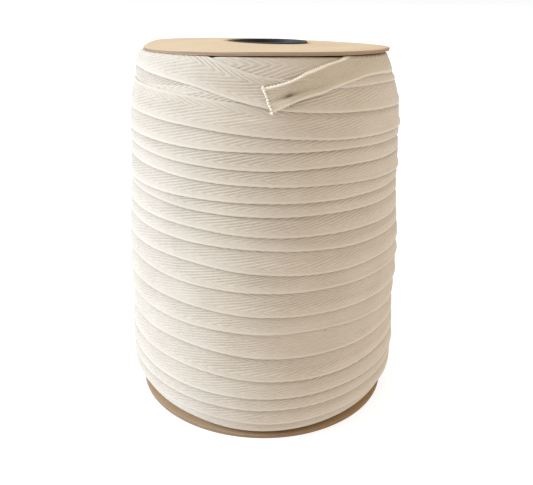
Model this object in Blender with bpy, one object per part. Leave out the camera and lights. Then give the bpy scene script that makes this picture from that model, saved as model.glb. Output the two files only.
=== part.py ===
"""Roll of cotton herringbone tape, wound on a card spool that stands on its lower card.

Metres, +Z up, the origin at the middle of the underside. The loose end hangs over the front, at -Y.
A turn is placed by its angle round the spool, 0 at the front and growing towards +X, and by its depth
below the rim of the upper card.
"""
import math

import bmesh
import bpy
import numpy as np

SEGMENTS = 64
MM = 0.001

# The spool: two discs of card on a black tube.
TOP_CARD_RADIUS = 0.0550
BOTTOM_CARD_RADIUS = 0.0617
CARD_THICKNESS = 0.0014
CARD_CHAMFER = 0.0002
CARD_HOLE_RADIUS = 0.0181
TOP_RIM_Z = 0.1641
TOP_CARD_RISE = 0.0021
TUBE_RADIUS = 0.0178
TUBE_CHAMFER = 0.0003
BORE_RADIUS = 0.0155
TUBE_LENGTH = 0.1664
CLEARANCE = 0.0003

# The winding: a barrel of tape, stepped where the lower edge of each turn lies over the turn below.
WINDING_BOTTOM_Z = CARD_THICKNESS + CLEARANCE
WINDING_TOP_DEPTH = 2.6 * MM
STEP = 0.8 * MM
STEP_DROP = 0.25 * MM
ROWS_PER_TURN = 4

# depth below the upper rim, radius of the winding (millimetres)
BARREL = (
    (2.6, 54.8),
    (7.0, 56.7),
    (12.1, 58.3),
    (17.3, 60.0),
    (27.8, 61.0),
    (44.0, 61.8),
    (60.0, 62.3),
    (72.0, 63.3),
    (84.0, 64.6),
    (100.0, 65.2),
    (116.0, 64.5),
    (128.7, 65.2),
    (142.2, 65.5),
    (148.0, 65.4),
    (153.0, 64.8),
    (157.0, 63.3),
    (160.0, 61.4),
    (162.4, 59.4),
)

# depth of each turn's lower edge, 50 degrees left of the front, at the front and 50 degrees right of it
TURNS = (
    # left, front, right
    (9.3, 18.8, 21.1),
    (25.7, 29.5, 31.8),
    (34.2, 35.3, 35.7),
    (40.2, 42.3, 42.1),
    (46.1, 48.4, 49.8),
    (54.8, 55.1, 55.2),
    (58.7, 60.7, 60.9),
    (66.7, 68.9, 69.4),
    (72.6, 74.1, 75.8),
    (81.1, 84.1, 84.6),
    (89.4, 91.9, 91.3),
    (99.4, 102.6, 102.9),
    (109.2, 110.7, 111.5),
    (119.2, 121.6, 121.4),
    (129.3, 132.7, 130.5),
    (138.4, 141.1, 138.8),
    (144.6, 146.9, 144.5),
    (151.3, 154.0, 151.5),
    (158.0, 160.4, 158.2),
)
TURN_SIDE_ANGLE = 50.0
# where the path starts under the upper card and where it ends on the lower one: turn, depth
PATH_START = ((-0.5, 2.9), (0.0, 3.7), (0.5, 6.4))
PATH_END = ((19.6, 160.8), (20.5, 161.8))

# The loose end: angle in degrees, depth of its upper and of its lower side in millimetres.
LOOSE_END = (
    # angle, upper, lower
    (84.0, 3.1, 9.4),
    (72.0, 3.0, 9.2),
    (60.0, 2.9, 8.6),
    (48.0, 2.8, 8.4),
    (38.0, 2.8, 9.5),
    (28.5, 3.2, 11.6),
    (19.0, 5.6, 14.2),
    (10.0, 9.1, 17.1),
    (4.3, 10.3, 19.3),
    (0.0, 11.2, 20.9),
)
LOOSE_END_THICKNESS = 0.0010
LOOSE_END_ALONG = 44
LOOSE_END_ACROSS = 6
LOOSE_END_LIFT = 0.9 * MM


def curve_through(knots, x):
    """Smooth curve through (x, y) knots, taken at x."""
    xs, ys = (np.array(column, float) for column in zip(*knots))
    slopes = np.gradient(ys, xs)
    i = np.clip(np.searchsorted(xs, x, side="right") - 1, 0, len(xs) - 2)
    width = xs[i + 1] - xs[i]
    t = np.clip((x - xs[i]) / width, 0.0, 1.0)
    start, end = ys[i], ys[i + 1]
    h00 = 2 * t**3 - 3 * t**2 + 1
    h10 = t**3 - 2 * t**2 + t
    h11 = t**3 - t**2
    return h00 * start + h10 * width * slopes[i] + (1 - h00) * end + h11 * width * slopes[i + 1]


def barrel_radius(depth):
    return curve_through(BARREL, depth / MM) * MM


def path_knots():
    """(turn, depth in mm) knots of the helix that the turns' lower edges lie on."""
    side = TURN_SIDE_ANGLE / 360.0
    knots = list(PATH_START)
    for number, (left, front, right) in enumerate(TURNS, start=1):
        knots += [(number - side, left), (number, front), (number + side, right)]
    return knots + list(PATH_END)


def point(angle, radius, depth):
    """The place at an angle from the front, a radius and a depth below the upper rim."""
    return (radius * math.sin(angle), -radius * math.cos(angle), TOP_RIM_Z - depth)


def add_node(name, bm, color, roughness):
    bmesh.ops.recalc_face_normals(bm, faces=bm.faces)
    bmesh.ops.triangulate(bm, faces=bm.faces)
    mesh = bpy.data.meshes.new(name)
    bm.to_mesh(mesh)
    bm.free()
    material = bpy.data.materials.new(name)
    material.use_nodes = True
    shader = material.node_tree.nodes["Principled BSDF"]
    shader.inputs["Base Color"].default_value = (*color, 1.0)
    shader.inputs["Roughness"].default_value = roughness
    mesh.materials.append(material)
    node = bpy.data.objects.new(name, mesh)
    bpy.context.scene.collection.objects.link(node)
    return node


def turned(section):
    """A closed (radius, z) section turned round the Z axis."""
    bm = bmesh.new()
    rings = []
    for radius, z in section:
        ring = []
        for i in range(SEGMENTS):
            angle = 2 * math.pi * i / SEGMENTS
            ring.append(bm.verts.new((radius * math.sin(angle), -radius * math.cos(angle), z)))
        rings.append(ring)
    for ring, following in zip(rings, rings[1:] + rings[:1]):
        for i in range(SEGMENTS):
            k = (i + 1) % SEGMENTS
            bm.faces.new((ring[i], ring[k], following[k], following[i]))
    return bm


def card_section(card_radius, rim_z, rise):
    """Section of a card disc whose upper side is at rim_z, and rise higher at its middle."""
    def upper(radius):
        return rim_z + rise * (1.0 - (radius / card_radius) ** 2)

    radii = np.linspace(CARD_HOLE_RADIUS, card_radius - CARD_CHAMFER, 4)
    section = [(r, upper(r)) for r in radii]
    section += [(card_radius, rim_z - CARD_CHAMFER)]
    section += [(card_radius, rim_z - CARD_THICKNESS + CARD_CHAMFER)]
    section += [(r, upper(r) - CARD_THICKNESS) for r in radii[::-1]]
    return section


def build_cards():
    lower = turned(card_section(BOTTOM_CARD_RADIUS, CARD_THICKNESS, 0.0))
    add_node("flange_bottom", lower, (0.60, 0.46, 0.32), 0.9)
    upper = turned(card_section(TOP_CARD_RADIUS, TOP_RIM_Z, TOP_CARD_RISE))
    add_node("flange_top", upper, (0.66, 0.52, 0.37), 0.9)


def build_core():
    chamfer = TUBE_CHAMFER
    section = (
        (BORE_RADIUS, chamfer),
        (BORE_RADIUS + chamfer, 0.0),
        (TUBE_RADIUS - chamfer, 0.0),
        (TUBE_RADIUS, chamfer),
        (TUBE_RADIUS, TUBE_LENGTH - chamfer),
        (TUBE_RADIUS - chamfer, TUBE_LENGTH),
        (BORE_RADIUS + chamfer, TUBE_LENGTH),
        (BORE_RADIUS, TUBE_LENGTH - chamfer),
    )
    add_node("core", turned(section), (0.020, 0.018, 0.017), 0.45)


def build_winding():
    knots = path_knots()
    first, last = PATH_START[0][0], PATH_END[-1][0]
    rows = int(round(last - first - 1)) * ROWS_PER_TURN
    # within a turn: how far down it a row lies, and how far it is set in
    drops = (0.0, None, 0.42, 0.78)
    insets = (0.0, 1.0, 0.72, 0.22)
    bm = bmesh.new()
    grid = []
    for i in range(SEGMENTS):
        angle = -math.pi + 2 * math.pi * i / SEGMENTS
        column = []
        for j in range(rows + 1):
            turn = first + 0.5 + angle / (2 * math.pi) + j // ROWS_PER_TURN
            k = j % ROWS_PER_TURN
            edge, below = (curve_through(knots, t) * MM for t in (turn, turn + 1))
            fade = min(1.0, turn - first, max(0.0, last - 1.0 - turn))
            drop = min(STEP_DROP, 0.2 * (below - edge)) if k == 1 else drops[k] * (below - edge)
            depth = edge + drop
            column.append(bm.verts.new(point(angle, barrel_radius(depth) - STEP * insets[k] * fade, depth)))
        grid.append(column)

    def ring(radius, depth):
        return [bm.verts.new(point(-math.pi + 2 * math.pi * i / SEGMENTS, radius, depth)) for i in range(SEGMENTS)]

    top, bottom = WINDING_TOP_DEPTH, TOP_RIM_Z - WINDING_BOTTOM_Z
    hole = TUBE_RADIUS + CLEARANCE
    top_rim = ring(barrel_radius(top) - 0.4 * MM, top)
    top_hole = ring(hole, top)
    bottom_rim = ring(barrel_radius(bottom) - 0.4 * MM, bottom)
    bottom_hole = ring(hole, bottom)

    for i in range(SEGMENTS):
        k = (i + 1) % SEGMENTS
        bm.faces.new((top_hole[i], top_hole[k], top_rim[k], top_rim[i]))
        bm.faces.new((bottom_rim[i], bottom_rim[k], bottom_hole[k], bottom_hole[i]))
        bm.faces.new((bottom_hole[i], bottom_hole[k], top_hole[k], top_hole[i]))
        # past the back the rows of one turn go on as the rows of the next
        shift = ROWS_PER_TURN if k == 0 else 0
        for j in range(rows - shift):
            bm.faces.new((grid[i][j], grid[k][j + shift], grid[k][j + shift + 1], grid[i][j + 1]))
        bm.faces.new([top_rim[i], top_rim[k]] + grid[k][:shift + 1] + [grid[i][0]])
        bm.faces.new([bottom_rim[k], bottom_rim[i]] + grid[i][rows - shift:][::-1] + [grid[k][rows]])
    add_node("winding", bm, (0.78, 0.72, 0.62), 0.95)


def build_loose_end():
    angles = [row[0] for row in LOOSE_END][::-1]
    upper = [(row[0], row[1]) for row in LOOSE_END][::-1]
    lower = [(row[0], row[2]) for row in LOOSE_END][::-1]
    bm = bmesh.new()
    inner, outer = [], []
    for a in np.linspace(angles[0], angles[-1], LOOSE_END_ALONG + 1):
        top, bottom = curve_through(upper, a) * MM, curve_through(lower, a) * MM
        # the cut edge leans, its lower corner being further along
        lean = 3.2 * max(0.0, 1.0 - (a - angles[0]) / 20.0)
        lift = LOOSE_END_LIFT * max(0.0, 1.0 - (a - angles[0]) / 16.0) ** 2
        for side, out in ((inner, 0.0), (outer, LOOSE_END_THICKNESS)):
            row = []
            for j in range(LOOSE_END_ACROSS + 1):
                across = j / LOOSE_END_ACROSS
                depth = top + (bottom - top) * across
                angle = math.radians(a + lean * (across - 0.5))
                radius = barrel_radius(depth) + 1.6 * CLEARANCE + lift * (0.5 + 0.5 * across) + out
                row.append(bm.verts.new(point(angle, radius, depth)))
            side.append(row)
    m, n = LOOSE_END_ALONG, LOOSE_END_ACROSS
    for i in range(m):
        for j in range(n):
            for side in (inner, outer):
                bm.faces.new((side[i][j], side[i + 1][j], side[i + 1][j + 1], side[i][j + 1]))
        for j in (0, n):
            bm.faces.new((inner[i][j], inner[i + 1][j], outer[i + 1][j], outer[i][j]))
    for j in range(n):
        for i in (0, m):
            bm.faces.new((inner[i][j], inner[i][j + 1], outer[i][j + 1], outer[i][j]))
    add_node("tape_end", bm, (0.80, 0.74, 0.64), 0.95)


for startup_object in list(bpy.data.objects):
    bpy.data.objects.remove(startup_object)
build_cards()
build_core()
build_winding()
build_loose_end()
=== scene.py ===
"""Roll of off-white herringbone cotton tape on a card spool, as it stands in the photograph.

Metres, +Z up. A place on the winding is given by its angle from the front (growing towards +X) and by its
depth below the rim of the upper card. The tape is one long strip: its turns run from the loose end at the
top down to the lower card, each lying over the upper part of the turn below it.
"""
import math

import bpy
import numpy as np
from mathutils import Matrix, Vector


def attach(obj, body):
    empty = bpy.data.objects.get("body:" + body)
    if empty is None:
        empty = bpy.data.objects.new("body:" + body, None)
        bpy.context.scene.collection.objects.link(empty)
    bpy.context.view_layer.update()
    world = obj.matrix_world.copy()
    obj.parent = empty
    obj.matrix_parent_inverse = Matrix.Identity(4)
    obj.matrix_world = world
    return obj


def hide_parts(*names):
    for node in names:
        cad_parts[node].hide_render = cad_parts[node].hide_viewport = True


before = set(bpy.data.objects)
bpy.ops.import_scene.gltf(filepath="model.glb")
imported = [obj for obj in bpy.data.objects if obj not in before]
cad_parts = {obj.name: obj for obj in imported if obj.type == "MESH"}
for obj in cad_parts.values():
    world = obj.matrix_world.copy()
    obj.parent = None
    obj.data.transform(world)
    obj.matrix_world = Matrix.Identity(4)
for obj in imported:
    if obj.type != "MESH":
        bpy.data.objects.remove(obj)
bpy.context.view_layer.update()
MM = 0.001
rng = np.random.default_rng(7)

TOP_CARD_RADIUS = 0.0547
BOTTOM_CARD_RADIUS = 0.0617
CARD_THICKNESS = 0.0014
CARD_HOLE_RADIUS = 0.0181
TOP_RIM_Z = 0.1641
TOP_CARD_RISE = 0.0021
TOP_CARD_ASIDE = 0.00045
TOP_CARD_TILT = 0.022
CARD_BENDS_FROM = 0.030
CARD_BENDS_OVER = 0.023
CORE_ASIDE = 0.0010
TUBE_RADIUS = 0.0178
BORE_RADIUS = 0.0155
TUBE_LENGTH = 0.1664
TUBE_CORNER = 0.35 * MM

TAPE_WIDTH = 11.6 * MM
TAPE_THICKNESS = 0.50 * MM
LAYER = 0.62 * MM
SELVAGE = 0.75 * MM
# an upper edge lifts the turn above it from this far inside the edge
EDGE_ROUNDS = 0.15 * MM
# the outline under the turns lies this many layers inside the winding's face, and rounds over to its top
LAYERS_DEEP = 1.75
SHOULDER = 0.9 * MM
# the weave: slanting ribs that turn back twice across the tape
RIB_ANGLE = math.radians(14.0)
RIBS_PER_TURN = 84
COLUMNS_PER_RIB = 6
RIB_HEIGHT = 0.14 * MM
TURN_BACKS = (2.6 * MM, 8.4 * MM)
# how far apart the weft's picks are (millimetres)
PICK_SPACING = 0.62
# a turn's radius for lengths along the tape, and roughly its length for the unevenness of its edge
MEAN_RADIUS = 0.0630
MM_PER_TURN = 390

# depth below the upper rim, radius of the winding (millimetres)
BARREL = (
    (3.2, 54.9),
    (7.0, 56.7),
    (12.1, 58.3),
    (17.3, 60.0),
    (27.8, 61.0),
    (44.0, 61.8),
    (60.0, 62.3),
    (72.0, 63.3),
    (84.0, 64.6),
    (100.0, 65.2),
    (116.0, 64.5),
    (128.7, 65.2),
    (142.2, 65.5),
    (148.0, 65.5),
    (153.0, 65.0),
    (157.0, 63.6),
    (160.0, 61.9),
    (162.5, 59.6),
)
# the barrel is drawn in at four places above the lower card: how far, how much further at +X than that,
# and the depths between which it comes in (millimetres)
PULLED_IN = 1.2
PULLED_ASIDE = -0.35
PULLED_FROM = 150.0
PULLED_FULLY = 157.0

# the turns stand out further at the upper left: depth below the rim, how far (millimetres)
BULGE_ANGLE = math.radians(-85.0)
BULGE = (
    (3.2, 2.3),
    (6.0, 1.8),
    (9.0, 1.4),
    (12.0, 0.5),
    (16.0, 0.15),
    (22.0, 0.0),
)

# the shoulder stands higher at the front
CROWN = 1.55 * MM
CROWN_ANGLE = math.radians(-3.0)
# how far the tape may rise above the shoulder under the upper card (millimetres)
ROOM = 1.25
ROOM_ASIDE = 0.35
ROOM_ANGLE = math.radians(30.0)

# how far the upper card's rim is bent up all round (angle in degrees, millimetres)
CARD_LIFT = (
    (-180.0, 0.1),
    (-155.0, 0.3),
    (-136.0, 0.3),
    (-118.0, 0.3),
    (-106.0, 0.15),
    (-97.0, -0.5),
    (-90.0, -1.05),
    (-74.0, -1.16),
    (-52.0, -0.93),
    (-41.0, -0.60),
    (-33.5, -0.17),
    (-20.0, 0.36),
    (-3.0, 1.05),
    (8.3, 1.30),
    (20.0, 1.48),
    (32.6, 1.62),
    (50.5, 1.80),
    (71.0, 1.90),
    (95.0, 1.5),
    (130.0, 0.8),
    (180.0, 0.1),
)

# depth of each turn's lower edge (millimetres) at five angles across the front (degrees)
TURN_ANGLES = (-56, -28, 0, 28, 50)
TURNS = (
    (8.85, 12.25, 18.8, 21.25, 21.85),
    (25.3, 27.0, 29.5, 31.3, 31.8),
    (34.0, 35.1, 35.3, 35.3, 35.7),
    (39.8, 41.6, 42.3, 41.8, 42.1),
    (45.7, 47.4, 48.4, 48.8, 49.8),
    (54.8, 55.0, 55.1, 55.3, 55.2),
    (58.3, 60.0, 60.7, 60.6, 60.9),
    (66.5, 67.2, 68.9, 69.0, 69.4),
    (72.4, 73.4, 74.1, 75.5, 75.8),
    (80.9, 81.6, 84.1, 85.0, 84.6),
    (88.9, 91.1, 91.9, 91.8, 91.7),
    (99.1, 100.6, 102.5, 102.4, 102.5),
    (109.0, 109.9, 110.7, 110.3, 111.5),
    (119.0, 119.7, 122.0, 122.0, 121.6),
    (129.0, 130.4, 132.7, 132.6, 131.2),
    (138.0, 140.0, 141.1, 140.3, 139.3),
    (144.2, 146.0, 146.9, 145.8, 144.5),
    (151.0, 152.2, 154.0, 153.0, 151.5),
    (158.0, 158.8, 160.4, 159.8, 158.8),
)
# more places on the lower edge: turn, depth in millimetres
LOOSE_TURN_BEHIND = (0.5, 9.4)
FIRST_TURN_AT_RIGHT = (1.186, 22.5)
PATH_END = ((19.35, 159.8), (19.7, 161.8))
# where the wound tape ends, in turns
LAST_TURN = 19.5

# the loose end's lower edge: angle in degrees, depth in millimetres
LOOSE_LOWER = (
    (-6.0, 23.2),
    (2.1, 20.6),
    (6.7, 18.7),
    (11.7, 16.7),
    (17.0, 15.2),
    (21.7, 14.2),
    (27.5, 12.3),
    (33.2, 10.95),
    (38.9, 9.9),
    (45.1, 9.05),
    (55.0, 8.8),
    (68.0, 9.4),
    (90.0, 9.6),
)
# how the loose end hangs off the winding
LOOSE_SHAPE = (
    # angle and lead of the upper edge in degrees, then in millimetres:
    # width, lift of the lower edge, lift of the upper edge, depth of the crease
    (0.0, -3.6, 9.1, 1.10, 0.90, 0.0),
    (2.1, -3.3, 9.0, 1.10, 0.90, 0.10),
    (6.7, -2.4, 8.4, 1.10, 0.95, 0.50),
    (9.5, -2.1, 8.1, 0.95, 0.95, 0.98),
    (11.7, -1.9, 8.1, 0.62, 0.85, 0.62),
    (16.5, -2.1, 8.8, 0.30, 0.60, 0.35),
    (21.7, -2.4, 9.1, 0.20, 0.40, 0.25),
    (26.9, -2.4, 8.8, 0.14, 0.30, 0.15),
    (33.2, -2.6, 8.6, 0.10, 0.20, 0.05),
    (38.9, -2.8, 8.9, 0.06, 0.10, 0.0),
    (48.0, -2.0, 9.7, 0.03, 0.0, 0.0),
    (58.0, -0.8, 10.8, 0.0, 0.0, 0.0),
    (70.0, 0.0, 11.6, 0.0, 0.0, 0.0),
    (130.0, 0.0, 11.6, 0.0, 0.0, 0.0),
)
# the loose end's cut, its join with the wound tape, and where its columns begin to slant (degrees)
CUT_ANGLE = 2.5
JOIN_ANGLE = 78.0
SHEARED_FROM = 30.0
# how dark the painted shade in its crease is, and how far apart the scallops of its selvages are
CREASE_SHADE = 2.6
BEAD_SPACING = 1.25 * MM

# threads that stick out of the cut
THREADS = (
    # how many, first and last place across the cut, radius from and to, length from and to, sideways spread
    (9, 0.03, 0.97, 0.55, 0.66, 0.30, 0.60, 0.12),
    (13, 0.05, 0.95, 0.11, 0.16, 0.6, 1.0, 0.45),
)

# dark specks caught in the cotton: angle in degrees, depth in millimetres, size in millimetres
NEPS = (
    (24.2, 111.6, 0.42),
    (33.7, 111.6, 0.34),
    (45.0, 49.0, 0.30),
)

# the layer beneath, seen where the top turns leave it bare: its first and last turn, and its height
BENEATH_FROM, BENEATH_TO = -1.35, 0.9
BENEATH_HEIGHT = 0.24 * MM
UNDER_PATH = (
    # turn, depth of its lower edge in millimetres
    (-2.2, 38.0),
    (-1.5, 29.0),
    (-1.222, 26.0),
    (-1.0, 21.5),
    (-0.778, 19.8),
    (-0.5, 18.3),
    (-0.222, 17.9),
    (-0.125, 17.2),
    (-0.085, 15.4),
    (-0.055, 13.2),
    (0.014, 12.4),
    (0.083, 12.55),
    (0.139, 12.4),
    (0.167, 12.55),
    (0.19, 12.9),
    (0.3, 12.0),
    (0.5, 9.0),
    (0.778, 5.0),
    (1.0, 4.2),
    (1.4, 4.0),
)

# section of a card's cut edge: in from the rim, down from the face (millimetres)
CARD_EDGE = (
    (0.06, 0.05),
    (0.0, 0.2),
    (0.03, 0.5),
    (0.0, 0.8),
    (0.04, 1.1),
    (0.0, 1.25),
    (0.12, 1.38),
)


def curve_through(knots, x):
    """Smooth curve through (x, y) knots, taken at x."""
    xs, ys = (np.array(column, float) for column in zip(*knots))
    slopes = np.gradient(ys, xs)
    i = np.clip(np.searchsorted(xs, x, side="right") - 1, 0, len(xs) - 2)
    width = xs[i + 1] - xs[i]
    t = np.clip((x - xs[i]) / width, 0.0, 1.0)
    h00 = 2 * t**3 - 3 * t**2 + 1
    h10 = t**3 - 2 * t**2 + t
    h11 = t**3 - t**2
    return h00 * ys[i] + h10 * width * slopes[i] + (1 - h00) * ys[i + 1] + h11 * width * slopes[i + 1]


def smooth(x):
    x = np.clip(x, 0.0, 1.0)
    return x * x * (3 - 2 * x)


def waves(x, lengths, seed):
    """Gentle unevenness, about -1 to 1: a sum of sines of the given wavelengths."""
    own = np.random.default_rng(seed)
    total = np.zeros_like(np.asarray(x, float))
    for length in lengths:
        total = total + np.sin(2 * np.pi * x / length + own.uniform(0, 2 * np.pi))
    return total / len(lengths)


def pulled_in(angle, depth):
    """How far the barrel is drawn in above the lower card."""
    low = smooth((depth / MM - PULLED_FROM) / (PULLED_FULLY - PULLED_FROM))
    amount = PULLED_IN + PULLED_ASIDE * np.sin(angle)
    return amount * MM * low * (0.5 - 0.5 * np.cos(4 * angle))


def bulge(angle, depth):
    """How far the turns stand out at the upper left."""
    side = np.clip(np.cos(angle - BULGE_ANGLE), 0.0, 1.0) ** 6
    return MM * side * np.interp(depth / MM, *zip(*BULGE))


def crown(angle):
    """How much higher the shoulder is at the front."""
    return CROWN * np.clip(np.cos(angle - CROWN_ANGLE), 0.0, 1.0) ** 3


def room_under_card(angle):
    """How far the tape may stand above the shoulder, so that it stays clear of the card."""
    return MM * (ROOM + ROOM_ASIDE * np.cos(angle - ROOM_ANGLE)) - crown(angle)


class Meridian:
    """Outline of the form under the turns, from the top face over the shoulder to the bottom.

    A place on it is given by its length m from the shoulder, positive downwards.
    """

    def __init__(self):
        depth = np.linspace(3.2, 162.6, 500) * MM
        radius = curve_through(BARREL, depth / MM) * MM - LAYERS_DEEP * LAYER
        turn = np.linspace(0, math.pi / 2, 12)[:-1]
        shoulder_r = radius[0] - SHOULDER * (1 - np.sin(turn))
        shoulder_d = depth[0] - SHOULDER * np.cos(turn)
        face_r = np.linspace(0.035, shoulder_r[0], 20)[:-1]
        face_d = np.full_like(face_r, shoulder_d[0])
        barrel_from = len(face_r) + len(shoulder_r)
        self.r = np.concatenate([face_r, shoulder_r, radius])
        self.d = np.concatenate([face_d, shoulder_d, depth])
        steps = np.hypot(np.diff(self.r), np.diff(self.d))
        self.m = np.concatenate([[0.0], np.cumsum(steps)])
        self.m -= self.m[barrel_from]
        # the outline's normal, smoothed
        tr, td = np.gradient(self.r, self.m), np.gradient(self.d, self.m)
        kernel = np.ones(5) / 5
        tr, td = (np.convolve(np.pad(t, 2, mode="edge"), kernel, mode="valid") for t in (tr, td))
        size = np.hypot(tr, td)
        self.nr, self.nd = td / size, -tr / size

    def of_depth(self, depth):
        """The length m at a depth on the barrel."""
        k = np.searchsorted(self.d, 3.3 * MM)
        return np.interp(depth, self.d[k:], self.m[k:])

    def place(self, angle, m, out):
        """Points at an angle and length m, moved out along the outline's normal."""
        past_shoulder = smooth(-m / (1.0 * MM))
        out = out + past_shoulder * (np.minimum(out, room_under_card(angle)) - out)
        r = np.interp(m, self.m, self.r) + out * np.interp(m, self.m, self.nr)
        d = np.interp(m, self.m, self.d) + out * np.interp(m, self.m, self.nd)
        r = r - pulled_in(angle, d) + bulge(angle, d)
        # the crown fades out down the barrel
        r = r + 0.5 * crown(angle) * smooth((15.0 * MM - d) / (12.0 * MM))
        d = d - crown(angle) * smooth((8.0 * MM - d) / (6.0 * MM))
        return np.stack([r * np.sin(angle), -r * np.cos(angle), TOP_RIM_Z - d], axis=-1)


outline = Meridian()


def path_knots():
    """(turn, depth in mm) knots of the winding's lower edge, from the loose end to the bottom."""
    knots = [(a / 360.0, d) for a, d in LOOSE_LOWER] + [LOOSE_TURN_BEHIND]
    for number, depths in enumerate(TURNS, start=1):
        knots += [(number + a / 360.0, d) for a, d in zip(TURN_ANGLES, depths)]
        if number == 1:
            knots.append(FIRST_TURN_AT_RIGHT)
    return knots + list(PATH_END)


class Path:
    """The lower edge of a wound layer of tape, as its length m along the outline at each turn."""

    def __init__(self, knots, uneven_from, seed):
        self.turns = np.linspace(knots[0][0], knots[-1][0], 9000)
        depth = curve_through(knots, self.turns) * MM
        uneven = waves(self.turns * MM_PER_TURN, (23, 37, 61), seed)
        uneven = uneven * smooth((self.turns - uneven_from) / 0.5)
        self.m = outline.of_depth(depth + 0.08 * MM * uneven)

    def lower_edge(self, turn):
        return np.interp(turn, self.turns, self.m)

    def raise_over(self, turn, m):
        """How far the turns below lift the tape at a place m of this turn."""
        total = 0.0
        blend = 2.0 * MM
        for k in (1, 2, 3):
            upper = self.lower_edge(turn + k) - TAPE_WIDTH + EDGE_ROUNDS
            wound_there = smooth((self.turns[-1] - turn - k) / 0.3)
            total = total + LAYER * smooth((m - upper + blend) / blend) * wound_there
        return total


wound = Path(path_knots(), uneven_from=0.3, seed=3)
beneath = Path(UNDER_PATH, uneven_from=-9.0, seed=8)


def out_at_right(turn):
    """Where the layer beneath comes out over the first turn, at the right, 0 to 1."""
    return smooth((turn - 0.055) / 0.025) * smooth((0.32 - turn) / 0.06)


def over_first_turn(turn, m):
    """How far the layer beneath is lifted there."""
    upper = wound.lower_edge(turn + 1) - TAPE_WIDTH + EDGE_ROUNDS
    blend = 2.0 * MM
    return out_at_right(turn) * (LAYER + 0.06 * MM) * smooth((m - upper + blend) / blend)


def rib_strength(phase, angle):
    """The ribs stand out unevenly, and less on the right side, away from the key light: this scales their
    relief and their painted groove shade.
    """
    return (1.0 - 0.45 * np.sin(angle)) * (1.0 + 0.3 * waves(phase, (13.7, 31.0, 58.3), 21))


def weave(w, phase, strength):
    """Relief of the tape at width w, where phase counts the ribs along it."""
    blend = 0.5 * MM
    inside = smooth((w - SELVAGE) / blend) * smooth((TAPE_WIDTH - SELVAGE - w) / blend)
    ribs = np.sin(2 * np.pi * phase) + 0.25 * np.sin(4 * np.pi * phase)
    # the lowest ribs are half as high
    ribs = ribs * (0.5 + 0.5 * smooth((w - TURN_BACKS[0]) / (0.8 * MM)))
    return RIB_HEIGHT * inside * strength * ribs + 0.03 * MM * (1 - inside)


def rib_shift(w):
    """How far along the tape a rib has run where it crosses width w."""
    low, high = TURN_BACKS
    cot = 1.0 / math.tan(RIB_ANGLE)
    above = np.where(w < high, w - low, (high - low) - (w - high))
    return cot * np.where(w < low, low - w, above)


def make_mesh(name, points, faces, attributes=None, flat_faces=0):
    """A mesh object, smooth but for its last flat_faces faces."""
    mesh = bpy.data.meshes.new(name)
    mesh.from_pydata([], [], [])
    points = np.asarray(points, np.float32).reshape(-1, 3)
    faces = np.asarray(faces, np.int32)
    mesh.vertices.add(len(points))
    mesh.vertices.foreach_set("co", points.ravel())
    mesh.loops.add(faces.size)
    mesh.loops.foreach_set("vertex_index", faces.ravel())
    mesh.polygons.add(len(faces))
    mesh.polygons.foreach_set("loop_start", np.arange(0, faces.size, faces.shape[1], dtype=np.int32))
    mesh.update(calc_edges=True)
    mesh.validate()
    for key, values in (attributes or {}).items():
        layer = mesh.attributes.new(key, "FLOAT_VECTOR", "POINT")
        layer.data.foreach_set("vector", np.asarray(values, np.float32).ravel())
    mesh.polygons.foreach_set("use_smooth", np.arange(len(faces)) < len(faces) - flat_faces)
    obj = bpy.data.objects.new(name, mesh)
    bpy.context.scene.collection.objects.link(obj)
    return obj


def tube_faces(columns, around):
    """Quads of a tube of columns x around points, closed around and open at both ends."""
    i = np.arange(columns - 1)[:, None]
    j = np.arange(around)[None, :]
    k = (j + 1) % around
    a, b = i * around + j, i * around + k
    return np.stack([a, b, b + around, a + around], axis=-1).reshape(-1, 4)


def cap_faces(start, around, flip):
    """Close one end of a flattened tube: the loop's two long sides are joined by quads."""
    faces = []
    low, high = 0, around - 1
    while high - low > 2:
        faces.append([start + low, start + low + 1, start + high - 1, start + high])
        low, high = low + 1, high - 1
    return [face[::-1] if flip else face for face in faces]


# the tape's cross-section: where its outer and then its inner face have points, from the lower edge
ROWS = np.concatenate([[0.0, 0.22, 0.75], np.linspace(1.25, 10.35, 15), [10.85, 11.38, 11.6]]) * MM
INNER_ROWS = np.array([11.4, 8.6, 5.8, 3.0, 0.2]) * MM


def edge_fall(w):
    """How far the selvages round down from the face."""
    from_edge = np.minimum(w, TAPE_WIDTH - w) / MM
    return np.interp(from_edge, [0, 0.22, 0.75], [0.26, 0.05, 0.0]) * MM


def shade_under(turn, m, path=wound):
    """How deep a place lies in the shade of the layer whose lower edge is above it, 0 to 1."""
    under = np.maximum((m - path.lower_edge(turn)) / MM, 0.0)
    shade = 0.6 * np.exp(-under / 0.7) + 0.4 * np.exp(-under / 2.2)
    from_cut = turn - CUT_ANGLE / 360.0
    below = (from_cut > 0) & (m > path.lower_edge(turn) - 0.3 * MM)
    return np.where(below, shade * (0.25 + 0.75 * smooth(from_cut / 0.25)), 0.0)


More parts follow.
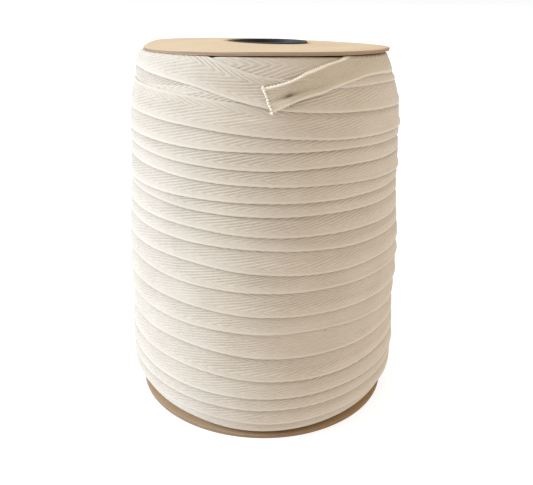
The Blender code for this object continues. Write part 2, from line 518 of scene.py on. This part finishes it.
def strip(name, path, first_turn, last_turn, height=None, covered_by=(-1.0,)):
    """The wound tape between two turns, as a closed strip whose columns follow the ribs.

    It stands on the turns below it, or at a given height. The turns at covered_by from it paint shade on
    it.
    """
    total = RIBS_PER_TURN * COLUMNS_PER_RIB
    columns = np.arange(round(first_turn * total), round(last_turn * total) + 1)
    w = np.concatenate([ROWS, INNER_ROWS])[None, :]
    outer = np.concatenate([np.ones(len(ROWS)), np.zeros(len(INNER_ROWS))])[None, :]
    column = columns[:, None] + 0 * w
    turn = column / total + rib_shift(w) / (2 * np.pi * MEAN_RADIUS)
    along = turn * 2 * np.pi * MEAN_RADIUS
    ragged = 0.04 * MM * waves(along / MM, (2.9, 4.3, 7.7), 17) * np.exp(-w / (1.0 * MM))
    m = path.lower_edge(turn) - w + ragged
    phase = column / COLUMNS_PER_RIB
    fall = edge_fall(w) * outer + TAPE_THICKNESS * (1 - outer)
    strength = rib_strength(phase, turn * 2 * np.pi)
    relief = weave(w, phase, strength) * outer
    if height is None:
        stands = LAYER + path.raise_over(turn, m)
    else:
        stands = height + over_first_turn(turn, m)
    out = stands - fall + relief + flare(along, w)
    points = outline.place(turn * 2 * np.pi, m, out)
    # painted shade below the lower edges of the turns above
    painted_shade = np.max([shade_under(turn + offset, m) for offset in covered_by], axis=0)
    if path is wound:
        # and painted shade below the layer beneath where it comes out over the first turn
        painted_shade = np.maximum(painted_shade, 1.3 * out_at_right(turn - 1) * shade_under(turn - 1, m, beneath))
    attributes = {
        "weave": np.stack([phase, w / MM + 0 * column, along / MM], axis=-1),
        "painted_shade": np.stack([painted_shade, strength, 0 * painted_shade], axis=-1),
    }
    return closed_strip(name, points, attributes)


def flare(along, w):
    """How far the lower edge stands off the turn beneath it."""
    return (0.13 + 0.08 * waves(along / MM, (31, 47, 83), 11)) * MM * np.exp(-w / (1.2 * MM))


def closed_strip(name, points, attributes):
    """A strip of tape as a closed mesh, from columns of points around its cross-section."""
    columns, around = points.shape[:2]
    sides = tube_faces(columns, around).tolist()
    caps = cap_faces(0, around, False) + cap_faces((columns - 1) * around, around, True)
    return make_mesh(name, points, sides + caps, attributes, len(caps))


def loose_end():
    """The tape's free end, from its cut to where it lies down on the winding."""
    low_rows, high_rows = [0.0, 0.15, 0.45, 0.8], [10.8, 11.15, 11.45, 11.6]
    rows = np.concatenate([low_rows, np.linspace(1.1, 10.5, 32), high_rows]) * MM
    inner = np.concatenate([[11.5], np.linspace(10.6, 1.0, 14), [0.1]]) * MM
    w = np.concatenate([rows, inner])[None, :]
    outer = np.concatenate([np.ones(len(rows)), np.zeros(len(inner))])[None, :]
    base = np.linspace(CUT_ANGLE, JOIN_ANGLE + 0.8, 300)[:, None]
    # the cut is straight across, and the other end is slanted as the wound strip's columns are
    shear = smooth((base - SHEARED_FROM) / (JOIN_ANGLE - SHEARED_FROM - 2.0))
    angle = base + shear * np.degrees(rib_shift(w) / MEAN_RADIUS)
    at, *columns = zip(*LOOSE_SHAPE)
    lead, width, low, high, crease = (curve_through(list(zip(at, column)), angle) for column in columns)
    v = w / TAPE_WIDTH
    turn = angle / 360.0
    m = wound.lower_edge(turn) - width * MM * v
    along = turn * 2 * np.pi * MEAN_RADIUS
    phase = (along - rib_shift(w)) * RIBS_PER_TURN / (2 * np.pi * MEAN_RADIUS)
    fall = edge_fall(w) * outer + TAPE_THICKNESS * (1 - outer)
    valley = 0.385 - 0.004 * np.clip(base - 8.0, 0.0, 14.0)
    dip = np.exp(-((v - valley) / 0.10) ** 2)
    ridge = np.exp(-((v - valley + 0.26) / 0.12) ** 2)
    lift = low + (high - low) * smooth(v * 1.15) + crease * (0.35 * ridge - dip)
    strength = rib_strength(phase, np.radians(angle))
    out = LAYER + wound.raise_over(turn, m) - fall + weave(w, phase, strength) * outer
    out = out + lift * MM + 0.03 * MM
    # the selvages are scalloped by the weft's turns
    bead = np.sin(2 * np.pi * along / BEAD_SPACING)
    low_edge, high_edge = np.exp(-w / (0.4 * MM)), np.exp((w - TAPE_WIDTH) / (0.4 * MM))
    v_shift = 0.13 * MM * bead * (low_edge - high_edge)
    out = out + 0.10 * MM * bead * (low_edge + high_edge) * outer
    points = outline.place(np.radians(angle + lead * v), m + v_shift, out)
    # painted shade in the crease, deepest where the crease is deepest
    attributes = {
        "weave": np.stack([phase, w / MM + 0 * phase, along / MM], axis=-1),
        "painted_shade": np.stack([CREASE_SHADE * crease**2 * dip, strength + 0 * w, 0 * phase], axis=-1),
    }
    return closed_strip("tape_end_cloth", points, attributes), points, len(rows)


def fray(points, rows):
    """Warp ends that stick out of the cut: fat tufts, and fine threads along the same edge."""
    sides, steps = 8, 7
    end_faces = ((0, 1, 2, 3), (0, 3, 4, 7), (4, 5, 6, 7))
    ring = np.arange(sides) * 2 * np.pi / sides
    all_points, faces = [], []
    cut, next_column = points[0, :rows], points[3, :rows]
    threads = [
        (place, rng.uniform(thin, thick), rng.uniform(short, long), spread)
        for count, first, last, thin, thick, short, long, spread in THREADS
        for place in np.linspace(first, last, count)
    ]
    for place, radius, length, spread in threads:
        k = place * (rows - 1)
        i = min(int(k), rows - 2)
        at = cut[i] + (cut[i + 1] - cut[i]) * (k - i)
        inward = next_column[i] - cut[i]
        inward = inward / np.linalg.norm(inward)
        across = cut[i + 1] - cut[i]
        across = across / np.linalg.norm(across)
        normal = np.cross(inward, across)
        normal = normal * np.sign(normal @ at)
        aside = rng.uniform(-spread, spread)
        rise = rng.uniform(-0.1, 0.3)
        start = len(all_points)
        for step in range(steps):
            f = step / (steps - 1)
            centre = at + inward * MM * (0.55 - f * (length + 0.55))
            centre = centre + MM * (across * aside * f * f + normal * (rise * f * f - 0.25))
            size = radius * MM * math.sqrt(max(1 - (2 * f - 1) ** 6, 0.03))
            for a in ring:
                all_points.append(centre + size * (across * math.cos(a) + normal * math.sin(a)))
        for step in range(steps - 1):
            for j in range(sides):
                a = start + step * sides + j
                b = start + step * sides + (j + 1) % sides
                faces.append([a, b, b + sides, a + sides])
        for end in (start, start + (steps - 1) * sides):
            faces += [[end + j for j in corners] for corners in end_faces]
    # the threads sit in the upper selvage's band, so they take its lighter colour with its painted
    # highlight
    weave_values = np.tile([0.3, 0.9 * TAPE_WIDTH / MM + 1.1, 0.0], (len(all_points), 1))
    return make_mesh("tape_end_fray", all_points, faces, {"weave": weave_values})


class Nodes:
    """A material's node tree, with short ways to add the nodes used here."""

    def __init__(self, name):
        self.material = bpy.data.materials.new(name)
        self.material.use_nodes = True
        self.tree = self.material.node_tree
        self.shader = self.tree.nodes["Principled BSDF"]

    def add(self, kind, inputs=(), **settings):
        node = self.tree.nodes.new(kind)
        for key, value in settings.items():
            setattr(node, key, value)
        for key, value in dict(inputs).items():
            if isinstance(value, bpy.types.NodeSocket):
                self.tree.links.new(value, node.inputs[key])
            else:
                node.inputs[key].default_value = value
        return node

    def math(self, operation, a, b=0.0, c=0.0):
        return self.add("ShaderNodeMath", {0: a, 1: b, 2: c}, operation=operation).outputs[0]

    def mix(self, factor, a, b, blend="MIX"):
        node = self.add("ShaderNodeMix", data_type="RGBA", blend_type=blend)
        for key, value in ((0, factor), (6, a), (7, b)):
            if isinstance(value, bpy.types.NodeSocket):
                self.tree.links.new(value, node.inputs[key])
            else:
                node.inputs[key].default_value = value
        return node.outputs[2]

    def noise(self, vector, scale, detail=2.0, rough=0.5):
        inputs = {"Vector": vector, "Scale": scale, "Detail": detail, "Roughness": rough}
        return self.add("ShaderNodeTexNoise", inputs).outputs["Fac"]

    def vector(self, x, y, z=0.0):
        return self.add("ShaderNodeCombineXYZ", {0: x, 1: y, 2: z}).outputs[0]

    def ramp(self, value, low, high, start=0.0, end=1.0):
        inputs = {"Value": value, 1: low, 2: high, 3: start, 4: end}
        return self.add("ShaderNodeMapRange", inputs).outputs[0]

    def set(self, **inputs):
        for key, value in inputs.items():
            socket = self.shader.inputs[key.replace("_", " ")]
            if isinstance(value, bpy.types.NodeSocket):
                self.tree.links.new(value, socket)
            else:
                socket.default_value = value

    def bump(self, height, strength, distance):
        inputs = {"Height": height, "Strength": strength, "Distance": distance}
        return self.add("ShaderNodeBump", inputs).outputs[0]


def on_the_winding(angle, depth):
    """The point of the tape's face that is seen at an angle and depth."""
    m = outline.of_depth(depth * MM)
    turns = np.radians(angle) / (2 * np.pi) + np.arange(1, 20)
    turn = turns[np.argmax(wound.lower_edge(turns) > m)]
    return outline.place(np.radians(angle), m, LAYER + wound.raise_over(turn, m))


YARN_DARK = (0.555, 0.470, 0.350, 1)
YARN_LIGHT = (0.605, 0.520, 0.395, 1)
YARN_BRIGHT = (0.69, 0.61, 0.485, 1)
SLUB = (0.70, 0.625, 0.51, 1)
BLOTCH = (0.600, 0.500, 0.370, 1)
# painted shade in the grooves between ribs
GROOVE_SHADE = (0.33, 0.25, 0.165, 1)
SHADE = (0.19, 0.15, 0.095, 1)
SPECK = (0.10, 0.07, 0.05, 1)
NEP = (0.16, 0.12, 0.08, 1)


def cotton_material(name, selvage_shares, selvage_color_and_highlight, selvage_width, tint):
    """Herringbone cotton; the selvages at the lower and upper edge have their shares of a lighter colour,
    partly their own and partly painted highlight.
    """
    n = Nodes(name)
    attribute = n.add("ShaderNodeAttribute", attribute_name="weave").outputs["Vector"]
    parts = n.add("ShaderNodeSeparateXYZ", {0: attribute}).outputs
    phase, width, along = parts[0], parts[1], parts[2]
    painted_shade = n.add("ShaderNodeAttribute", attribute_name="painted_shade").outputs["Vector"]
    painted_shade, strength = n.add("ShaderNodeSeparateXYZ", {0: painted_shade}).outputs[0:2]
    place = n.add("ShaderNodeTexCoord").outputs["Object"]
    cloud = n.noise(place, 60.0, 3.0)
    blotch = n.noise(place, 14.0, 2.0)
    patch = n.noise(place, 110.0, 2.0)
    # painted shade in the grooves between ribs, more in some places than in others
    wave = n.math("SINE", n.math("MULTIPLY", phase, 2 * math.pi))
    near, far = selvage_width, TAPE_WIDTH / MM - selvage_width
    from_low = n.ramp(width, near - 0.3, near + 0.3)
    from_high = n.ramp(width, far - 0.3, far + 0.3, 1.0, 0.0)
    inner = n.math("MULTIPLY", from_low, from_high)
    groove_shade = n.math("MULTIPLY", n.ramp(wave, -1.0, 0.2, 1.0, 0.0), inner)
    groove_shade = n.math("MULTIPLY", groove_shade, n.ramp(width, 2.4, 3.2, 0.4, 1.0))
    groove_shade = n.math("MULTIPLY", groove_shade, n.math("MULTIPLY", strength, n.ramp(patch, 0.3, 0.7, 0.08, 0.33)))
    dash_place = n.vector(n.math("MULTIPLY", along, 0.7), n.math("MULTIPLY", phase, 2.0), width)
    dash = n.noise(dash_place, 1.0, 1.0)
    groove_shade = n.math("MULTIPLY", groove_shade, n.ramp(dash, 0.35, 0.65, 0.4, 1.6))
    # yarns along the ribs and picks across the tape
    yarn = n.noise(n.vector(n.math("MULTIPLY", phase, 3.0), n.math("MULTIPLY", width, 1.2)), 2.2, 3.0, 0.6)
    pick = n.math("SINE", n.math("MULTIPLY", along, 2 * math.pi / PICK_SPACING))
    slub = n.noise(n.vector(n.math("MULTIPLY", along, 0.25), width, phase), 1.6)
    base = n.mix(n.ramp(cloud, 0.3, 0.7), YARN_DARK, YARN_LIGHT)
    base = n.mix(n.ramp(blotch, 0.35, 0.65, 0.0, 0.5), base, BLOTCH)
    base = n.mix(groove_shade, base, GROOVE_SHADE)
    base = n.mix(n.math("MULTIPLY", n.ramp(yarn, 0.35, 0.75), 0.22), base, YARN_BRIGHT)
    base = n.mix(n.math("MULTIPLY", n.ramp(slub, 0.55, 0.75), 0.25), base, SLUB)
    # the selvages are lighter: partly their own colour, partly painted highlight where the edges catch the
    # light
    edge = n.math("SUBTRACT", 1.0, inner)
    edge = n.math("MULTIPLY", edge, n.ramp(width, 3.0, 6.0, *selvage_shares))
    base = n.mix(edge, base, (*selvage_color_and_highlight, 1))
    # painted shade where places lie under the edge above, and in the loose end's crease
    base = n.mix(n.math("MULTIPLY", painted_shade, 0.36), base, SHADE)
    base = n.mix(1.0, base, (*tint, 1), "MULTIPLY")
    # scattered specks, and the ones that the photograph shows
    speck = n.add("ShaderNodeTexVoronoi", {"Vector": place, "Scale": 210.0}).outputs["Distance"]
    chance = n.noise(place, 95.0, 1.0)
    nep = n.math("MULTIPLY", n.ramp(speck, 0.05, 0.11, 1.0, 0.0), n.ramp(chance, 0.70, 0.74))
    base = n.mix(n.math("MULTIPLY", nep, 0.5), base, SPECK)
    for angle, depth, size in NEPS:
        spot = {0: place, 1: tuple(on_the_winding(angle, depth))}
        away = n.add("ShaderNodeVectorMath", spot, operation="DISTANCE").outputs["Value"]
        base = n.mix(n.ramp(away, 0.8 * size * MM, 1.3 * size * MM, 0.6, 0.0), base, NEP)
    height = n.math("ADD", n.math("MULTIPLY", yarn, 0.7), n.math("MULTIPLY", pick, 0.16))
    height = n.math("ADD", height, n.math("MULTIPLY", n.noise(place, 2600.0, 2.0), 0.25))
    n.set(Base_Color=base, Roughness=0.95, Normal=n.bump(height, 0.55, 0.00012))
    n.set(Sheen_Weight=0.2, Sheen_Roughness=0.6, Specular_IOR_Level=0.2)
    return n.material


def card_material(name, faces, edges):
    """Brown board with fibres on its faces and layers of paper in its cut edge."""
    n = Nodes(name)
    faces, edges = ([(*color, 1) for color in colors] for colors in (faces, edges))
    place = n.add("ShaderNodeTexCoord").outputs["Object"]
    normal = n.add("ShaderNodeNewGeometry").outputs["True Normal"]
    upright = n.add("ShaderNodeSeparateXYZ", {0: normal}).outputs[2]
    side = n.ramp(n.math("ABSOLUTE", upright), 0.75, 0.35)
    fibre = n.noise(place, 900.0, 4.0, 0.65)
    cloud = n.noise(place, 45.0, 3.0)
    face = n.mix(n.ramp(cloud, 0.3, 0.7), faces[0], faces[1])
    face = n.mix(n.ramp(fibre, 0.35, 0.7, 0.0, 0.35), face, faces[2])
    z = n.add("ShaderNodeSeparateXYZ", {0: place}).outputs[2]
    layers = n.noise(n.vector(n.noise(place, 60.0), 0.0, n.math("MULTIPLY", z, 3500.0)), 1.0, 2.0)
    edge = n.mix(n.ramp(layers, 0.35, 0.65), edges[0], edges[1])
    color = n.mix(side, face, edge)
    height = n.math("ADD", fibre, n.math("MULTIPLY", n.math("MULTIPLY", layers, side), 2.0))
    n.set(Base_Color=color, Roughness=0.88, Normal=n.bump(height, 0.35, 0.0001), Specular_IOR_Level=0.25)
    return n.material


def core_material():
    n = Nodes("black_core")
    place = n.add("ShaderNodeTexCoord").outputs["Object"]
    grain = n.noise(place, 700.0, 3.0)
    color = n.mix(grain, (0.022, 0.020, 0.016, 1), (0.055, 0.049, 0.040, 1))
    rough = n.ramp(n.noise(place, 120.0, 2.0), 0.3, 0.7, 0.50, 0.65)
    n.set(Base_Color=color, Roughness=rough, Normal=n.bump(grain, 0.2, 0.0001), Specular_IOR_Level=0.3)
    return n.material


def floor_material():
    n = Nodes("pale_floor")
    place = n.add("ShaderNodeTexCoord").outputs["Object"]
    color = n.mix(n.noise(place, 3.0), (0.34, 0.34, 0.34, 1), (0.36, 0.36, 0.36, 1))
    n.set(Base_Color=color, Roughness=0.8, Emission_Color=(1.0, 1.0, 1.0, 1), Emission_Strength=0.75)
    return n.material


cotton = cotton_material(
    "herringbone_cotton",
    selvage_shares=(0.30, 0.12),
    selvage_color_and_highlight=(0.76, 0.69, 0.57),
    selvage_width=0.95,
    tint=(0.96, 0.925, 0.92),
)
# the loose end's copy of the cotton: its darker tint is painted shade, and its selvages carry a stronger
# painted highlight
cotton_end_painted_light = cotton_material(
    "herringbone_cotton_end_painted_light",
    selvage_shares=(0.40, 0.85),
    selvage_color_and_highlight=(1.0, 0.93, 0.79),
    selvage_width=1.2,
    tint=(0.89, 0.845, 0.79),
)
card = card_material(
    "brown_card",
    faces=((0.615, 0.455, 0.280), (0.66, 0.495, 0.305), (0.49, 0.34, 0.20)),
    edges=((0.25, 0.16, 0.095), (0.42, 0.29, 0.185)),
)
# the lower card: a copy of the brown card whose darker faces and edge are painted shade
shaded_card = card_material(
    "brown_card_painted_shade",
    faces=((0.47, 0.305, 0.160), (0.50, 0.33, 0.175), (0.36, 0.22, 0.115)),
    edges=((0.20, 0.115, 0.062), (0.34, 0.21, 0.125)),
)
black, pale = core_material(), floor_material()


def finished(obj, material, replaced):
    """Give a piece its material, attach it to the root, and hide the model's part that it replaces."""
    obj.data.materials.append(material)
    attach(obj, "root")
    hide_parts(replaced)
    return obj


def build_winding():
    bounds = (JOIN_ANGLE / 360.0, 5.5, 10.5, 15.5, LAST_TURN)
    names = ("turns_top", "turns_upper", "turns_lower", "turns_bottom")
    for name, first, last in zip(names, bounds, bounds[1:]):
        finished(strip(name, wound, first, last), cotton, "winding")
    under = strip("turns_beneath", beneath, BENEATH_FROM, BENEATH_TO, BENEATH_HEIGHT, covered_by=(0.0, 1.0))
    finished(under, cotton, "winding")


def build_loose_end():
    cloth, points, rows = loose_end()
    finished(cloth, cotton_end_painted_light, "tape_end")
    threads = finished(fray(points, rows), cotton_end_painted_light, "tape_end")


def lathe(name, section, segments, wobble=None, aside=None):
    """A closed (radius, z) section turned round Z; aside says how far a place moves to +X."""
    angle = np.arange(segments) * 2 * np.pi / segments
    section = np.asarray(section)
    r = section[:, 0][:, None] + 0 * angle
    z = section[:, 1][:, None] + 0 * angle
    if wobble is not None:
        r, z = wobble(r, z, angle[None, :])
    shift = aside(r) if aside else 0.0
    points = np.stack([r * np.sin(angle) + shift, -r * np.cos(angle), z], axis=-1)
    n = len(section)
    i, j = np.arange(n)[:, None], np.arange(segments)[None, :]
    i2, j2 = (i + 1) % n, (j + 1) % segments
    a, b, c, d = (p * segments + q for p, q in ((i, j), (i, j2), (i2, j2), (i2, j)))
    return make_mesh(name, points, np.stack([a, b, c, d], axis=-1).reshape(-1, 4))


def build_underlayer():
    """The wound form inside the turns, which closes the winding behind them."""
    m = np.concatenate([np.linspace(-0.019, 0.0, 14), np.linspace(0.0006, outline.m[-1], 200)])
    depth = np.interp(m, outline.m, outline.d)
    drawn_in = smooth((depth / MM - PULLED_FROM) / (PULLED_FULLY - PULLED_FROM))
    recess = 0.60 + (PULLED_IN + 1.5) * drawn_in
    r = np.interp(m, outline.m, outline.r) - recess * MM
    z = TOP_RIM_Z - depth
    hole = TUBE_RADIUS + 1.4 * MM
    section = [(hole, z[0])] + list(zip(r, z)) + [(hole, z[-1])]
    finished(lathe("underlayer", section[::-1], 256), cotton, "winding")


def build_cards():
    def wobble(r, z, angle):
        rim = smooth((r - CARD_BENDS_FROM) / CARD_BENDS_OVER)
        turned = (np.degrees(angle) + 180.0) % 360.0 - 180.0
        z = z + (rim * curve_through(CARD_LIFT, turned)) * MM - TOP_CARD_TILT * r * np.sin(angle)
        # a rim that isn't cut quite round
        r = r + rim * 0.05 * MM * np.sin(23 * angle + 3 * np.sin(7 * angle))
        return r, z

    for name, card_radius, rim_z, rise, rim_aside, bends, material, node in (
        ("card_top", TOP_CARD_RADIUS, TOP_RIM_Z, TOP_CARD_RISE, TOP_CARD_ASIDE, wobble, card, "flange_top"),
        ("card_bottom", BOTTOM_CARD_RADIUS, CARD_THICKNESS, 0.0, 0.0, None, shaded_card, "flange_bottom"),
    ):
        radii = np.linspace(CARD_HOLE_RADIUS, card_radius - 0.25 * MM, 14)
        top = [(r, rim_z + rise * (1 - (r / card_radius) ** 2)) for r in radii]
        rim = [(card_radius - dr * MM, rim_z - dz * MM) for dr, dz in CARD_EDGE]
        bottom = [(r, z - CARD_THICKNESS) for r, z in top[::-1]]
        # the hole sits round the core, and the rim has its own place
        aside = lambda r: CORE_ASIDE + (rim_aside - CORE_ASIDE) * smooth((r - CARD_HOLE_RADIUS) / 0.03)
        finished(lathe(name, (top + rim + bottom)[::-1], 256, bends, aside), material, node)


def build_core():
    arc = np.linspace(0, math.pi / 2, 6)
    across, down = TUBE_CORNER * (1 - np.cos(arc)), TUBE_CORNER * (1 - np.sin(arc))
    outside = list(zip(TUBE_RADIUS - across, TUBE_LENGTH - down))
    mouth = list(zip(BORE_RADIUS + down, TUBE_LENGTH - across))
    section = [(TUBE_RADIUS, 0.0)] + outside + mouth + [(BORE_RADIUS, 0.08), (BORE_RADIUS, 0.0)]
    tube = lathe("core_tube", section[::-1], 160, aside=lambda r: CORE_ASIDE + 0.0 * r)
    finished(tube, black, "core")


# the studio's soft light by height above the horizon (sine, then colour)
SKY = (
    (0.0, 1.0, 1.0, 1.0),
    (0.10, 0.58, 0.56, 0.53),
    (0.60, 0.52, 0.50, 0.47),
    (0.82, 1.15, 1.10, 1.04),
    (1.0, 1.45, 1.40, 1.33),
)
SKY_POWER = 1.5
LIGHTS = (
    # name, direction it comes from, power, colour, spread in degrees
    ("key", (-0.91, -0.08, 0.40), 3.6, (0.79, 1.05, 1.44), 30.0),
    ("rim", (0.95, 0.25, 0.20), 0.58, (1.0, 0.92, 0.80), 40.0),
)


def build_stage():
    """The pale floor, the soft sky and the two lamps."""
    size = 40.0
    points = [(-size, -size, 0), (size, -size, 0), (size, size, 0), (-size, size, 0)]
    floor = make_mesh("floor", points, [[0, 1, 2, 3]], flat_faces=1)
    floor.data.materials.append(pale)

    world = bpy.data.worlds.new("studio")
    bpy.context.scene.world = world
    world.use_nodes = True
    tree = world.node_tree
    direction = tree.nodes.new("ShaderNodeTexCoord").outputs["Generated"]
    height = tree.nodes.new("ShaderNodeSeparateXYZ")
    tree.links.new(direction, height.inputs[0])
    ramp = tree.nodes.new("ShaderNodeValToRGB")
    tree.links.new(height.outputs["Z"], ramp.inputs[0])
    stops = ramp.color_ramp.elements
    for _ in range(len(SKY) - 2):
        stops.new(0.5)
    for stop, (at, *color) in zip(stops, SKY):
        stop.position = at
        stop.color = (*(c / SKY_POWER for c in color), 1.0)
    tree.links.new(ramp.outputs["Color"], tree.nodes["Background"].inputs["Color"])
    tree.nodes["Background"].inputs["Strength"].default_value = SKY_POWER

    for name, came_from, power, color, spread in LIGHTS:
        data = bpy.data.lights.new(name, "SUN")
        data.energy = power
        data.color = color
        data.angle = math.radians(spread)
        lamp = bpy.data.objects.new(name, data)
        lamp.rotation_euler = Vector(came_from).to_track_quat("Z", "Y").to_euler()
        bpy.context.scene.collection.objects.link(lamp)


def build_camera():
    """The photograph's camera, from the outlines of the two cards."""
    image_width, image_height = 533, 485
    focal_px = 610.35
    principal_x, principal_y = 263.74, 210.5
    tilt, roll = 0.3253, 0.0103
    place = Vector((0.0, -0.28510, TOP_RIM_Z + 0.01758))
    up = Vector((0.0, math.sin(tilt), math.cos(tilt)))
    forward = Vector((0.0, math.cos(tilt), -math.sin(tilt)))
    across = Vector((1.0, 0.0, 0.0))
    camera_x = math.cos(roll) * across + math.sin(roll) * up
    camera_y = -math.sin(roll) * across + math.cos(roll) * up
    data = bpy.data.cameras.new("camera")
    data.sensor_fit = "HORIZONTAL"
    data.sensor_width = 36.0
    data.lens = focal_px / image_width * 36.0
    data.shift_x = (image_width / 2 - principal_x) / image_width
    data.shift_y = (principal_y - image_height / 2) / image_width
    data.clip_start = 0.01
    data.clip_end = 50.0
    camera = bpy.data.objects.new("camera", data)
    bpy.context.scene.collection.objects.link(camera)
    turned = Matrix((camera_x, camera_y, -forward)).transposed().to_4x4()
    camera.matrix_world = Matrix.Translation(place) @ turned
    bpy.context.scene.camera = camera


build_winding()
build_loose_end()
build_underlayer()
build_cards()
build_core()
build_stage()
build_camera()
bpy.context.scene.view_settings.view_transform = "Standard"
